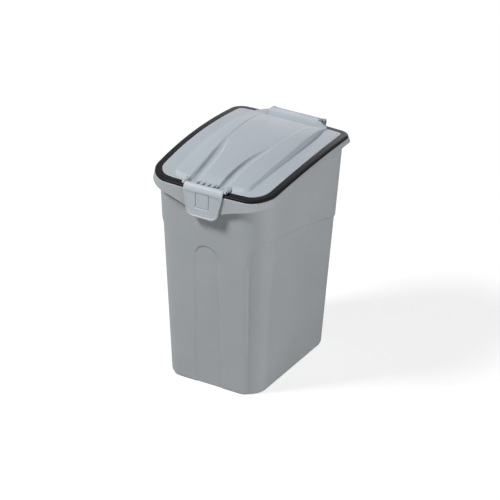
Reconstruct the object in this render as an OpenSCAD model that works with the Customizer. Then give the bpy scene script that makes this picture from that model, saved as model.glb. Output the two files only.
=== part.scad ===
// Rice bin with a flip lid: a tapered tub with a flared rim, a domed lid with a
// rubber seal round its edge, a rod hinge at the back and a swinging latch in front.
// X runs to the right, Y to the back, Z up, and the origin is the middle of the base.

/* [Tub] */
// Width of the base
base_w = 162.6; // [140:0.1:190]
// Depth of the base
base_d = 224.8; // [190:0.1:260]
// Lean of the side walls, in degrees from upright
side_draft = 2.97; // [1:0.01:5]
// Lean of the front wall, in degrees from upright
front_draft = 1.33; // [0.5:0.01:3]
// Lean of the back wall, in degrees from upright
back_draft = 4.17; // [2:0.01:6]
// Thickness of the tub's walls
wall = 2.4; // [1.8:0.1:3]
// Thickness of the tub's floor
floor_t = 2.8; // [2:0.1:4]
// Radius of the tub's front corners at the base
corner_base_r = 32; // [26:1:38]
// Radius of the tub's front corners at the rim
corner_top_r = 46; // [40:1:50]
// Radius of the tub's back corners
corner_back_r = 40; // [34:1:44]
// Size of the eased edge round the base
base_edge = 2.5; // [1.5:0.5:4]

/* [Side recess] */
// Depth of the recess that wraps each side of the tub
recess_depth = 1.6; // [0.8:0.1:2.2]
// Extra radius of the tub's corners inside the recess
recess_corner_more = 3; // [1:0.5:5]
// Distance from the middle to the recess's edge at the base
recess_base_x = 62.5; // [58:0.5:68]
// Distance from the middle to the recess's edge where it starts to turn
recess_top_x = 69.5; // [66:0.5:76]
// Height at which the recess's edge starts to turn
recess_turn_z = 229; // [200:1:234]
// Radius of the turn in the recess's edge
recess_turn_r = 26; // [10:1:30]
// Height of the recess's top edge beside the middle of the tub
recess_z = 239.6; // [200:0.1:260]
// Fall of the recess's top edge per millimetre to the back
recess_fall = 0.21; // [0.1:0.01:0.3]
// Bend of the recess's top edge, as height lost per square millimetre
recess_bend = 0.00042; // [0:0.00001:0.001]

/* [Arched front panel] */
// Height of the top of the arch
panel_top_z = 235.2; // [200:0.1:250]
// Width of the panel where the arch springs
panel_top_w = 40; // [30:0.5:50]
// Width of the panel at the base
panel_base_w = 45; // [36:0.5:56]
// Depth of the panel
panel_depth = 1.1; // [0.6:0.1:1.4]

/* [Rim] */
// Height of the rim at the front
rim_front_z = 324.8; // [280:0.1:380]
// How much higher the rim is at the back than at the front
rim_rise = 10.8; // [4:0.1:16]
// How far the rim arches up between front and back
rim_arch = 8.4; // [2:0.1:12]
// How far the rim's sides stand out past the lines of the side walls
rim_side_out = 1.25; // [0.5:0.05:3]
// How far the rim's front edge stands out past the line of the front wall
rim_front_out = 0.66; // [0.3:0.01:3]
// How far the rim's back corners lie inside the line of the back wall
rim_back_in = 1.58; // [0:0.01:2]
// Radius of the rim's front corners
rim_front_r = 34; // [24:1:40]
// Radius of the rim's back corners
rim_back_r = 18; // [14:1:30]
// Outward bow of the rim's sides
side_bow = 4.6; // [2:0.1:7]
// Outward bow of the rim's front
front_bow = 4; // [2:0.1:6]
// Outward bow of the rim's back
back_bow = 4.2; // [2:0.1:6]
// How far the flange stands out past the seal
flange_proud = 0.6; // [0.2:0.1:1.5]
// How far the flange flares from its top edge to its bottom edge
flange_flare = 2; // [0.5:0.1:3]
// Height of the flange at the sides and back
flange_h = 6.5; // [5:0.1:9]
// Height of the flange in the middle of the front
front_flange_h = 25.8; // [18:0.1:29]
// Width over which the front flange keeps its full height
flange_deep_w = 66; // [50:1:80]
// Distance over which the front flange fades beside that width
flange_fade_w = 55; // [40:1:60]
// Share of the front flange's extra height that reaches the corners
flange_corner_share = 0.2; // [0.1:0.05:0.5]
// Height of the sloped underside of the flange
flange_cove = 8; // [5:0.5:14]

/* [Seal] */
// Width of the rubber seal
seal_w = 10.9; // [8:0.1:13]
// Height of the seal's crown above the rim
seal_h = 4.2; // [3.6:0.1:4.2]
// Gap between the seal and the rim that it rests on
seal_gap = 0.3; // [0.2:0.05:0.5]
// Depth of the tongue that holds the seal in the lid's edge
seal_tongue = 1.2; // [0.8:0.1:1.5]
// Clearance round the seal's tongue
seal_fit = 0.1; // [0.05:0.05:0.2]

/* [Lid] */
// Thickness of the lid's shell
lid_t = 2.4; // [1.8:0.1:3]
// Height of the lid's flat border above the rim
border_h = 4.4; // [4:0.1:5]
// Depth of the skirt that reaches into the tub
skirt_h = 12; // [8:0.5:16]
// Thickness of the skirt
skirt_t = 2.2; // [1.8:0.1:3]
// Distance from the seal to the skirt's outer face
skirt_in = 3; // [2:0.5:4]
// Width of the raised part of the lid, at its front corners
raised_w = 118; // [110:1:130]
// Outward bow of the raised part's sides
raised_bow = 5; // [0:0.5:8]
// Outward bow of the raised part's front
raised_front_bow = 7; // [4:0.5:8]
// Radius of the raised part's front corners
raised_r = 6; // [5:1:20]
// Width of the sloped step beside the raised part, at its corners
step_w = 3.6; // [3:0.1:6]
// How much wider the step is halfway along the sides
step_bow = 1.4; // [0:0.1:3]
// Width of the step at the raised part's front
step_front_w = 5.2; // [2:0.1:6]
// Width of the step at the raised part's back
step_back_w = 1.5; // [1:0.1:3]
// Width of the flat border between the seal and the step, at the front
front_border = 4.2; // [4:0.1:6]
// Distance from the seal to the raised part's back edge
raised_back_gap = 4; // [2:0.5:8]
// Radius of the raised part's back corners
raised_back_r = 8; // [4:1:16]
// Height of the raised part's edge above the rim, at the front
raised_h = 8.6; // [8:0.1:10]
// How much higher the raised part's edge gets towards the back
edge_swell = 5.5; // [3:0.1:6.5]
// Extra height of the middle of the lid above the raised part's edge
crown_h = 5; // [2:0.1:7]
// Height of the raised part's back edge above the rim
raised_back_h = 5.7; // [5.4:0.1:8]

/* [Lid grooves] */
// Distance from the middle to each groove at the front
groove_front_x = 24.7; // [23.5:0.1:25]
// Distance from the middle to each groove's far end
groove_back_x = 38; // [30:0.5:42]
// Distance from the middle of the base to the grooves' far ends
groove_end_y = 3; // [0:1:20]
// Width of each groove at the front
groove_w = 15; // [10:0.5:15]
// Depth of each groove at the front
groove_depth = 4.6; // [2.5:0.1:5]
// Number of notches in the lid's nose
notch_count = 4; // [2:1:5]
// Distance between notches
notch_pitch = 9.1; // [7:0.1:10]
// Width of each notch at the front
notch_w = 6.6; // [4:0.1:7]
// Thickness of the floor under the grooves' front ends
nose_floor_t = 1.7; // [1.5:0.1:2.4]
// Fall of the nose from the raised part to the latch
nose_fall = 1.4; // [1:0.1:2]

/* [Latch] */
// Width of the latch at its pivot
latch_w = 66; // [56:1:72]
// Width of the latch near its bottom
latch_low_w = 55; // [46:1:62]
// Height of the latch from its pivot to its bottom edge
latch_drop = 46.6; // [42:0.1:52]
// Thickness of the latch's plate
latch_t = 2.6; // [2:0.1:3.4]
// Radius of the latch's bottom corners
latch_corner_r = 13; // [8:1:18]
// How much further out the latch stands at its bottom than at the rim
latch_lean = 1.8; // [1:0.1:5]
// Side of the square recess in the latch
pad_w = 23.4; // [16:0.2:28]
// Depth of the square recess
pad_depth = 1.2; // [0.5:0.1:1.4]
// Height of the pad's middle above the middle of the latch
pad_up = 2.9; // [0:0.1:4]
// Width of the hook that catches under the flange
hook_w = 36; // [20:1:44]
// How far the hook reaches behind the latch's plate
hook_reach = 3; // [2:0.1:3.4]
// Height of the hook
hook_h = 6; // [4:0.5:8]
// Radius of the latch's pivot barrel
latch_barrel_r = 3.2; // [2.8:0.1:3.2]
// Distance from the rim's front edge to the pivot's axis
latch_axis_back = -0.4; // [-1:0.1:0]
// Height of the pivot's axis above the front rim
latch_axis_up = 7.8; // [7.7:0.1:8.6]
// Radius of the latch's pin
latch_pin_r = 1.5; // [1.2:0.1:1.8]
// Thickness of the lid's lugs that hold the pin
lug_t = 3.6; // [2.5:0.1:5]

/* [Back hinge] */
// Length of the lid's hinge barrel
barrel_w = 84; // [70:1:90]
// Radius of the lid's hinge barrel
barrel_r = 4.5; // [4:0.1:5]
// Radius of the hinge rod
rod_r = 2; // [1.5:0.1:2.4]
// Distance from the rim's back edge to the rod's axis
hinge_axis_back = 12.5; // [11.5:0.1:15]
// Height of the rod's axis above the back rim
hinge_axis_up = 3.4; // [2.4:0.1:4]
// Radius of the tub's hinge ears
ear_r = 5.2; // [4.8:0.1:6]
// Thickness of the tub's hinge ears
ear_t = 3; // [2.5:0.1:5]
// Height of the lid's hood above the rim
hood_h = 12.5; // [11:0.1:14]
// Distance from the middle to where the hood's sloped shoulders end
shoulder_x = 62; // [54:1:66]

/* [Fits] */
// Radial clearance of a turning part on its pin or rod
running_fit = 0.05; // [0.02:0.01:0.1]
// Gap between parts that pass each other
side_gap = 0.4; // [0.3:0.05:0.8]

/* [Hidden] */

// Colours
tub_colour = [0.58, 0.61, 0.62];
lid_colour = [0.70, 0.73, 0.77];
seal_colour = [0.05, 0.05, 0.06];
steel_colour = [0.6, 0.6, 0.62];

// Overlap that lets a cut or a join pass a face cleanly
over = 1;
$fn = 48;

// Number of points on each stretch of an outline
front_steps = 10;
side_steps = 10;
corner_steps = 8;

// Height at which the plain walls end and the flared rim starts
collar_z = rim_front_z - front_flange_h - flange_cove;
rim_top_z = rim_front_z + rim_rise + rim_arch;

// Places that follow from the driving dimensions
rim_w = base_w + 2 * (rim_front_z * tan(side_draft) + rim_side_out);
rim_front = base_d / 2 + rim_front_z * tan(front_draft) + rim_front_out;
rim_back = base_d / 2 + rim_front_z * tan(back_draft) - rim_back_in;
rim_front_y = -rim_front;
rim_back_y = rim_back;
latch_axis_y = rim_front_y + latch_axis_back;
latch_axis_z = rim_front_z + latch_axis_up;
rod_y = rim_back_y + hinge_axis_back;
rod_z = rim_front_z + rim_rise + hinge_axis_up;
raised_front_y = rim_front_y + seal_w + front_border + step_front_w;
raised_back_y = rim_back_y - seal_w - raised_back_gap;
nose_low_z = rim_z(rim_front_y + seal_w - front_bow + over) + seal_h + seal_gap;
nose_front_y = latch_axis_y + latch_barrel_r + side_gap;
groove_start_y = raised_front_y - raised_front_bow - over;
groove_wall_from = 0.1;
tongue_low = 0.9;
tongue_high = 1.7;
seal_inner_h = seal_h - 0.3;
border_round = 1;
nose_ease = 0.3;
bend_out = 2;
bend_up = 0.8;
crown_power = 3;
back_fall_power = 8;

// An outline as a closed list of points, counted from the left end of the front edge.
// The corners have their own radii in front and at the back, and the sides can bow out.
function arc_points(cx, cy, r, from) =
  [for (i = [0 : corner_steps - 1]) let (a = from + 90 * i / corner_steps) [cx + r * cos(a), cy + r * sin(a)]];
function line_points(a, b, steps) = [for (i = [0 : steps - 1]) a + (b - a) * i / steps];
function plain_outline(w, yf, yb, rf, rb) = concat(
  line_points([-(w - rf), yf], [w - rf, yf], front_steps),
  arc_points(w - rf, yf + rf, rf, -90),
  line_points([w, yf + rf], [w, yb - rb], side_steps),
  arc_points(w - rb, yb - rb, rb, 0),
  line_points([w - rb, yb], [-(w - rb), yb], front_steps),
  arc_points(-(w - rb), yb - rb, rb, 90),
  line_points([-w, yb - rb], [-w, yf + rf], side_steps),
  arc_points(-(w - rf), yf + rf, rf, 180));
function bowed(p, w, yf, yb, side, front, back) =
  let (
    t = (p.y - yf) / (yb - yf),
    end = 2 * t - 1,
    across = 1 - pow(p.x / w, 2),
    out_x = sign(p.x) * side * 4 * t * (1 - t) * pow(p.x / w, 2),
    out_y = (end < 0 ? -front : back) * across * pow(end, 2)
  )
  [p.x + out_x, p.y + out_y];
function outline(w, yf, yb, rf, rb, side = 0, front = 0, back = 0) =
  [for (p = plain_outline(w, yf, yb, rf, rb)) bowed(p, w, yf, yb, side, front, back)];

// Height of the rim above the floor at a distance from front to back
function rim_share(y) = min(1, max(0, (y - rim_front_y) / (rim_back_y - rim_front_y)));
function rim_z(y) = rim_front_z + rim_rise * rim_share(y) + rim_arch * 4 * rim_share(y) * (1 - rim_share(y));

// The tub's outline at a height, moved in by an inset, with its corners made rounder
function corner_front_r(z) = corner_base_r + (corner_top_r - corner_base_r) * z / rim_front_z;
function tub_outline(z, inset, more = 0) = outline(
  base_w / 2 + z * tan(side_draft) - inset,
  -base_d / 2 - z * tan(front_draft) + inset,
  base_d / 2 + z * tan(back_draft) - inset,
  corner_front_r(z) + more - inset, corner_back_r + more - inset);
function tub_loop(z, inset, more = 0) = [for (p = tub_outline(z, inset, more)) [p.x, p.y, z]];
function arched_tub_loop(drop, inset) =
  let (guide = tub_outline(rim_front_z, inset))
  [for (i = [0 : len(guide) - 1])
    let (z = rim_z(guide[i].y) - drop, p = tub_outline(z, inset)[i]) [p.x, p.y, z]];

// A loop that follows the rim, moved in by an inset and up by a rise
function rim_outline(inset) = outline(
  rim_w / 2 - inset, rim_front_y + inset, rim_back_y - inset,
  max(rim_front_r - inset, 4), max(rim_back_r - inset, 4), side_bow, front_bow, back_bow);
function rim_loop(inset, rise) = [for (p = rim_outline(inset)) [p.x, p.y, rim_z(p.y) + rise]];

// The flange is deepest in the middle of the front and shallow round the sides and back
function front_share(p) =
  pow(min(1, max(0, -2 * p.y / rim_front - 0.6)), 2)
  * (1 - (1 - flange_corner_share) * pow(min(1, max(0, abs(p.x) - flange_deep_w / 2) / flange_fade_w), 0.75));
function flange_depth(p) = flange_h + (front_flange_h - flange_h) * front_share(p);
function flange_low_loop() =
  [for (p = rim_outline(-flange_proud - flange_flare)) [p.x, p.y, rim_z(p.y) - flange_depth(p)]];
function flange_root_loop() =
  let (guide = tub_outline(rim_front_z, 0))
  [for (i = [0 : len(guide) - 1])
    let (
      deep = front_share(guide[i]),
      z = rim_z(guide[i].y) - flange_depth(guide[i]) - flange_cove * (1 - deep) + 2 * deep,
      p = tub_outline(z, 0)[i]
    )
    [p.x, p.y, z]];

// Faces between loops of points, each loop anticlockwise from above
function band_faces(n, a, b) =
  [for (i = [0 : n - 1]) each [[a * n + i, b * n + i, b * n + (i + 1) % n],
    [a * n + i, b * n + (i + 1) % n, a * n + (i + 1) % n]]];
module ring_solid(loops) {
  n = len(loops[0]);
  k = len(loops);
  polyhedron(
    points = [for (loop = loops) each loop],
    faces = [for (j = [0 : k - 1]) each band_faces(n, j, (j + 1) % k)]);
}
function mean_point(loop) = [for (axis = [0 : 2]) [for (p = loop) p[axis]] * [for (p = loop) 1] / len(loop)];
module capped_solid(loops) {
  n = len(loops[0]);
  k = len(loops);
  low = k * n;
  high = low + 1;
  polyhedron(
    points = concat([for (loop = loops) each loop], [mean_point(loops[0]), mean_point(loops[k - 1])]),
    faces = concat(
      [for (i = [0 : n - 1]) [low, i, (i + 1) % n]],
      [for (j = [0 : k - 2]) each band_faces(n, j, j + 1)],
      [for (i = [0 : n - 1]) [high, (k - 1) * n + (i + 1) % n, (k - 1) * n + i]]));
}

// Flat shapes drawn as (Y, Z) and pulled out along X, or as (X, Z) and pulled out along Y
module along_x(from, length) {
  translate([from, 0, 0]) rotate([90, 0, 90]) linear_extrude(length) children();
}
module along_y(from, length) {
  translate([0, from + length, 0]) rotate([90, 0, 0]) linear_extrude(length) children();
}
module both_sides() {
  children();
  mirror([1, 0, 0]) children();
}

// The space of each side recess, as a block that takes in the tub's corners
function recess_top(y) = recess_z - recess_fall * y - recess_bend * y * y;
module recess_space() {
  reach = base_d;
  steps = 12;
  intersection() {
    along_x(0, base_w)
      polygon(concat(
        [for (i = [0 : steps]) let (y = -reach + 2 * reach * i / steps) [y, recess_top(y)]],
        [[reach, -over], [-reach, -over]]));
    along_y(-reach, 2 * reach)
      polygon(concat(
        [[recess_base_x, -over], [base_w, -over], [base_w, recess_turn_z + recess_turn_r]],
        [for (i = [0 : steps]) let (a = 90 + 90 * i / steps)
          [recess_top_x + recess_turn_r * (1 + cos(a)), recess_turn_z + recess_turn_r * sin(a)]]));
  }
}

// The tub's plain form, moved in by an inset, from a low height to a high one
module tub_form(inset, low, high) {
  edge = max(base_edge - inset, 1);
  module skin(extra, more, high) {
    capped_solid([
      tub_loop(low, inset + extra + edge, more),
      tub_loop(low + edge * 0.3, inset + extra + edge * 0.3, more),
      tub_loop(low + edge, inset + extra, more),
      tub_loop(high, inset + extra, more)]);
  }
  skin(recess_depth, recess_corner_more, high - over);
  difference() {
    skin(0, 0, high);
    both_sides() recess_space();
  }
}

// The arched panel let into the front, as a block that reaches a depth behind the front face
module panel_space(depth) {
  reach = 20;
  spring_z = panel_top_z - panel_top_w / 2;
  steps = 16;
  translate([0, -base_d / 2 + depth, 0])
    rotate([front_draft, 0, 0])
      along_y(-reach, reach)
        polygon(concat(
          [[-panel_base_w / 2, -over], [panel_base_w / 2, -over]],
          [for (i = [0 : steps]) let (a = 180 * i / steps)
            [panel_top_w / 2 * cos(a), spring_z + panel_top_w / 2 * sin(a)]]));
}

// The flared rim that carries the seal, standing on the plain walls and left thick inside for the cavity to cut
module tub_rim() {
  top_round = 0.8;
  ring_solid([
    tub_loop(collar_z, 0),
    flange_root_loop(),
    flange_low_loop(),
    rim_loop(-flange_proud, -1.5 * top_round),
    rim_loop(top_round - flange_proud, 0),
    arched_tub_loop(0, wall + over),
    tub_loop(collar_z, wall + over)]);
}

// An ear on the back of the rim that holds one end of the hinge rod
module hinge_ear() {
  root_low = rim_front_z - flange_h - flange_cove;
  root_high = rim_front_z + rim_rise - flange_h / 5;
  front_y = rod_y - ear_r;
  inner_y = base_d / 2 + root_high * tan(back_draft) - wall / 2;
  low_y = base_d / 2 + root_low * tan(back_draft) - wall / 2;
  along_x(barrel_w / 2 + side_gap, ear_t) {
    translate([rod_y, rod_z]) circle(r = ear_r);
    polygon([[low_y, root_low], [low_y + 3 * wall, root_low + wall], [rod_y + ear_r, rod_z - ear_r / 2],
      [rod_y + ear_r, rod_z], [front_y, rod_z], [front_y, root_high], [inner_y, root_high]]);
  }
}

module tub() color(tub_colour) {
  difference() {
    union() {
      difference() {
        tub_form(0, 0, collar_z);
        panel_space(panel_depth);
      }
      tub_rim();
      both_sides() hinge_ear();
    }
    difference() {
      tub_form(wall, floor_t, rim_top_z + over);
      panel_space(wall + panel_depth);
    }
    translate([-base_w, rod_y, rod_z]) rotate([0, 90, 0]) cylinder(r = rod_r, h = 2 * base_w);
  }
}

// The raised part of the lid: outlines of its top edge and of the foot of its step
raised_half = raised_w / 2;
function raised_outline(out, front, back, bow = raised_bow) = outline(
  raised_half + out, raised_front_y - front, raised_back_y + back,
  raised_r + out, raised_back_r + out, bow, raised_front_bow, 0);

// Height of the lid's top surface above the raised part
lid_low_y = raised_front_y - raised_front_bow;
function lid_share(y) = min(1, max(0, (y - lid_low_y) / (raised_back_y - lid_low_y)));
function lid_edge_h(t) =
  raised_h + edge_swell * t - (raised_h + edge_swell - raised_back_h) * pow(t, back_fall_power);
function lid_crown(t, x) =
  let (across = min(1, abs(x) / (raised_half + raised_bow * 4 * t * (1 - t))))
  crown_h * sqrt(4 * t * (1 - t)) * (1 - pow(across, crown_power));
function lid_top(x, y) = let (t = lid_share(y)) rim_z(y) + lid_edge_h(t) + lid_crown(t, x);
lid_middle = (raised_front_y + raised_back_y) / 2;
function lid_loop(share, inset, drop) =
  [for (p = raised_outline(-inset, -inset, -inset))
    let (x = p.x * share, y = lid_middle + (p.y - lid_middle) * share) [x, y, lid_top(x, y) - drop]];
function foot_loop(inset, rise) =
  [for (p = raised_outline(step_w - inset, step_front_w - inset, step_back_w - inset, raised_bow + step_bow))
    [p.x, p.y, rim_z(p.y) + rise]];

module lid_shell() {
  shares = [0.22, 0.45, 0.65, 0.8, 0.9, 0.96];
  last = len(shares) - 1;
  slot_in = seal_w + seal_tongue + seal_fit;
  capped_solid(concat(
    [for (i = [0 : last]) lid_loop(shares[i], lid_t, lid_t)],
    [lid_loop(1, lid_t, lid_t)],
    [foot_loop(lid_t, border_h - lid_t)],
    [rim_loop(seal_w + skirt_in + skirt_t, border_h - lid_t)],
    [rim_loop(seal_w + skirt_in + skirt_t, -skirt_h)],
    [rim_loop(seal_w + skirt_in, -skirt_h)],
    [rim_loop(seal_w + skirt_in, -skirt_in)],
    [rim_loop(seal_w, tongue_low - seal_fit)],
    [rim_loop(slot_in, tongue_low - seal_fit)],
    [rim_loop(slot_in, tongue_high + seal_fit)],
    [rim_loop(seal_w, tongue_high + seal_fit)],
    [rim_loop(seal_w, seal_inner_h)],
    [rim_loop(seal_w + border_round, border_h)],
    [foot_loop(0, border_h)],
    [lid_loop(1, 0, 0)],
    [for (i = [0 : last]) lid_loop(shares[last - i], 0, 0)]));
}

// A groove that starts beside the latch, swings outward and runs out
function groove_y(u) = groove_start_y + (groove_end_y - groove_start_y) * u;
function groove_x(u) = groove_front_x + (groove_back_x - groove_front_x) * pow(u, 2.6);
function groove_half(u) = groove_w / 2 * pow(1 - pow(u, 2.5), 0.45) + 0.3;
function groove_deep(u) = groove_depth * (1 - pow(u, 1.5)) * (0.75 + 0.25 * min(1, 4 * u)) + 0.2;
groove_steps = 12;
groove_floor_share = 0.3;
module groove_space() {
  capped_solid([for (i = [0 : groove_steps])
    let (
      u = i / groove_steps, x = groove_x(u), y = groove_y(u), h = groove_half(u), f = h * groove_floor_share,
      z = lid_top(x, y), low = z - groove_deep(u)
    )
    [[x - h, y, lid_top(x - h, y)], [x - h, y, z + lid_t], [x + h, y, z + lid_t], [x + h, y, lid_top(x + h, y)],
      [x + f, y, low], [x - f, y, low]]]);
}
module groove_wall() {
  last = 0.96;
  capped_solid([for (i = [0 : groove_steps])
    let (
      u = groove_wall_from + (last - groove_wall_from) * i / groove_steps,
      x = groove_x(u), y = groove_y(u), h = groove_half(u) + lid_t,
      f = groove_half(u) * groove_floor_share + lid_t / 2, low = lid_top(x, y) - groove_deep(u) - lid_t
    )
    [[x - h, y, lid_top(x - h, y) - lid_t / 2], [x + h, y, lid_top(x + h, y) - lid_t / 2],
      [x + f, y, low], [x - f, y, low]]]);
}

// The lid's nose between the grooves, with its notches, and the floor under the grooves' front ends
module lid_nose() {
  back_y = raised_front_y + lid_t;
  low_z = lid_top(0, lid_low_y);
  floor_z = nose_low_z + nose_floor_t;
  nose_half = groove_front_x - groove_w / 2;
  along_x(-latch_w / 2, latch_w)
    polygon([[back_y, nose_low_z], [back_y, floor_z], [nose_front_y, floor_z], [nose_front_y, nose_low_z]]);
  difference() {
    along_x(-nose_half, 2 * nose_half)
      polygon([[back_y, nose_low_z], [back_y, lid_top(nose_half, back_y) - nose_ease],
        [lid_low_y, low_z - nose_ease], [nose_front_y, low_z - nose_fall], [nose_front_y, nose_low_z]]);
    for (i = [0 : notch_count - 1])
      translate([(i - (notch_count - 1) / 2) * notch_pitch, 0, floor_z])
        linear_extrude(raised_h)
          polygon([[0, lid_low_y - lid_t], [-notch_w / 2, nose_front_y - over],
            [notch_w / 2, nose_front_y - over]]);
  }
}

// A lug beside the latch that holds one end of its pin
module latch_lug() {
  back_y = raised_front_y + lid_t;
  along_x(latch_w / 2 + side_gap, lug_t) {
    translate([latch_axis_y, latch_axis_z]) circle(r = latch_barrel_r);
    polygon([[latch_axis_y, nose_low_z], [back_y, nose_low_z],
      [back_y, lid_top(latch_w / 2 + lug_t, back_y) - nose_ease],
      [lid_low_y, lid_top(0, lid_low_y) - nose_ease], [latch_axis_y, latch_axis_z + latch_barrel_r]]);
  }
}

// The hood over the back hinge and the barrel that turns on the rod
function bend(a, b, c, t) = (1 - t) * (1 - t) * a + 2 * t * (1 - t) * b + t * t * c;
module lid_hood() {
  rim_top = rim_front_z + rim_rise;
  steps = 8;
  root = [raised_back_y - lid_t / 4, rim_top + raised_back_h + lid_t / 4];
  turn = [raised_back_y + 4 * lid_t, rim_top + raised_back_h + lid_t / 2];
  top = [rim_back_y, rim_top + hood_h];
  back = [rod_y - barrel_r - lid_t / 2, rim_top + hood_h];
  drop = [0, -lid_t];
  along_x(-barrel_w / 2, barrel_w) {
    difference() {
      union() {
        polygon(concat(
          [for (i = [0 : steps]) bend(root, turn, top, i / steps)],
          [back, [rod_y, rod_z + barrel_r], [rod_y, rod_z], [rod_y - barrel_r, rod_z], back + 1.2 * drop],
          [for (i = [0 : steps]) bend(root + drop, turn + drop, top + drop + [lid_t, 0], 1 - i / steps)]));
        translate([rod_y, rod_z]) circle(r = barrel_r);
      }
      translate([rod_y, rod_z]) circle(r = rod_r + running_fit);
    }
  }
  both_sides() hood_shoulder();
}

// The slope from each end of the hood down to the lid's border
module hood_shoulder() {
  seat_y = rim_back_y - seal_w - over;
  seat_z = rim_z(seat_y) + border_h - 0.75 * lid_t;
  low_z = rim_z(seat_y) + seal_h + 2 * seal_gap;
  function slice(x, back_y, back_z) = [
    [x, raised_back_y - over, seat_z],
    [x, seat_y, seat_z],
    [x, seat_y, low_z],
    [x, back_y, low_z],
    [x, back_y, back_z],
    [x, raised_back_y - over, low_z + lid_t / 2]];
  capped_solid([
    slice(barrel_w / 2 - over, rim_back_y + back_bow / 2, rim_front_z + rim_rise + hood_h - lid_t),
    slice(shoulder_x, seat_y + 0.7 * lid_t, low_z + lid_t / 2)]);
}

module lid() color(lid_colour) {
  difference() {
    union() {
      lid_shell();
      both_sides() groove_wall();
      lid_nose();
      both_sides() latch_lug();
      lid_hood();
    }
    both_sides() groove_space();
    translate([-latch_w, latch_axis_y, latch_axis_z]) rotate([0, 90, 0]) cylinder(r = latch_pin_r, h = 2 * latch_w);
  }
}

module lid_seal() color(seal_colour) {
  inner = seal_w - seal_fit;
  ring_solid([
    rim_loop(0.8, seal_gap),
    rim_loop(0, seal_h * 0.25),
    rim_loop(0.5, seal_h * 0.5),
    rim_loop(1.9, seal_h * 0.8),
    rim_loop(0.4 * seal_w, seal_h),
    rim_loop(0.78 * seal_w, seal_h),
    rim_loop(inner, seal_inner_h),
    rim_loop(inner, tongue_high),
    rim_loop(seal_w + seal_tongue, tongue_high),
    rim_loop(seal_w + seal_tongue, tongue_low),
    rim_loop(inner, tongue_low),
    rim_loop(inner, seal_gap)]);
}

// The latch: a barrel on the pin and a plate that hangs over the seal and the flange
module latch() color(lid_colour) {
  front_y = rim_front_y - front_bow - flange_proud - side_gap;
  flange_low_z = rim_front_z - front_flange_h;
  bottom_z = latch_axis_z - latch_drop;
  low_y = front_y - flange_flare - latch_lean;
  corner_z = bottom_z + latch_corner_r;
  hook_top_z = flange_low_z - side_gap;
  under_z = rim_z(latch_axis_y + latch_barrel_r) + seal_h + side_gap;
  pad_z = bottom_z + latch_drop / 2 + pad_up;
  pad_y = low_y + (front_y - low_y) * (pad_z - bottom_z) / (rim_front_z - bottom_z);
  lean = atan((front_y - low_y) / (rim_front_z - bottom_z));
  steps = 8;
  difference() {
    union() {
      along_x(-latch_w / 2, latch_w)
        translate([latch_axis_y, latch_axis_z]) circle(r = latch_barrel_r);
      intersection() {
        along_x(-latch_w / 2, latch_w)
          polygon(concat(
            [for (i = [0 : steps]) bend([latch_axis_y, latch_axis_z + latch_barrel_r],
              [front_y - latch_t + bend_out, latch_axis_z + bend_up], [front_y - latch_t, rim_front_z], i / steps)],
            [[low_y - latch_t, bottom_z], [low_y, bottom_z], [front_y, rim_front_z],
              [front_y + 2 * side_gap, under_z], [latch_axis_y, under_z]]));
        along_y(latch_axis_y - base_d / 2, base_d)
          polygon(concat(
            [[-latch_w / 2, latch_axis_z + latch_barrel_r], [-latch_w / 2, rim_front_z]],
            [for (i = [0 : steps]) let (a = 180 + 90 * i / steps)
              [-latch_low_w / 2 + latch_corner_r * (1 + cos(a)), corner_z + latch_corner_r * sin(a)]],
            [for (i = [0 : steps]) let (a = 270 + 90 * i / steps)
              [latch_low_w / 2 - latch_corner_r * (1 - cos(a)), corner_z + latch_corner_r * sin(a)]],
            [[latch_w / 2, rim_front_z], [latch_w / 2, latch_axis_z + latch_barrel_r]]));
      }
      along_x(-hook_w / 2, hook_w)
        polygon([[front_y - latch_t / 2, hook_top_z], [front_y + hook_reach, hook_top_z],
          [front_y + hook_reach, hook_top_z - hook_h / 4], [low_y - latch_t / 2, hook_top_z - hook_h]]);
    }
    translate([0, pad_y - latch_t + pad_depth, pad_z])
      rotate([-lean, 0, 0])
        translate([-pad_w / 2, -pad_w, -pad_w / 2]) cube(pad_w);
    translate([-latch_w, latch_axis_y, latch_axis_z])
      rotate([0, 90, 0]) cylinder(r = latch_pin_r + running_fit, h = 2 * latch_w);
  }
}

module latch_pin() color(steel_colour) {
  reach = latch_w / 2 + side_gap + lug_t;
  translate([-reach, latch_axis_y, latch_axis_z]) rotate([0, 90, 0]) cylinder(r = latch_pin_r, h = 2 * reach);
}

module hinge_rod() color(steel_colour) {
  reach = barrel_w / 2 + side_gap + ear_t;
  translate([-reach, rod_y, rod_z]) rotate([0, 90, 0]) cylinder(r = rod_r, h = 2 * reach);
}

tub();
lid();
lid_seal();
latch();
latch_pin();
hinge_rod();
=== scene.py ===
import math
import bpy
import bmesh
import numpy as np
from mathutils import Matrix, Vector


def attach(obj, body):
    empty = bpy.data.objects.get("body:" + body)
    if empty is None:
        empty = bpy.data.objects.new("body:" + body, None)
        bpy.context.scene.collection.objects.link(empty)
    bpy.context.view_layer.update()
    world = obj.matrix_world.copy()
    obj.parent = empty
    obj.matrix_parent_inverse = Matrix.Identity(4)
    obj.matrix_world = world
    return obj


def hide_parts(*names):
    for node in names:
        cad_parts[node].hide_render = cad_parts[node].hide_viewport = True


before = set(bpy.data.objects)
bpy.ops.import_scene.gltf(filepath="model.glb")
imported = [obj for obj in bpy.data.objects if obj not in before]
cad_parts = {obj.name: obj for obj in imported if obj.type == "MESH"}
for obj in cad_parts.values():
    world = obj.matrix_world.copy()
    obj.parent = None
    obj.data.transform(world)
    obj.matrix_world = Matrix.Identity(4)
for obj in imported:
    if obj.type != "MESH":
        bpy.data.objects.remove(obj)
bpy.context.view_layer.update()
MM = 0.001

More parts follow.
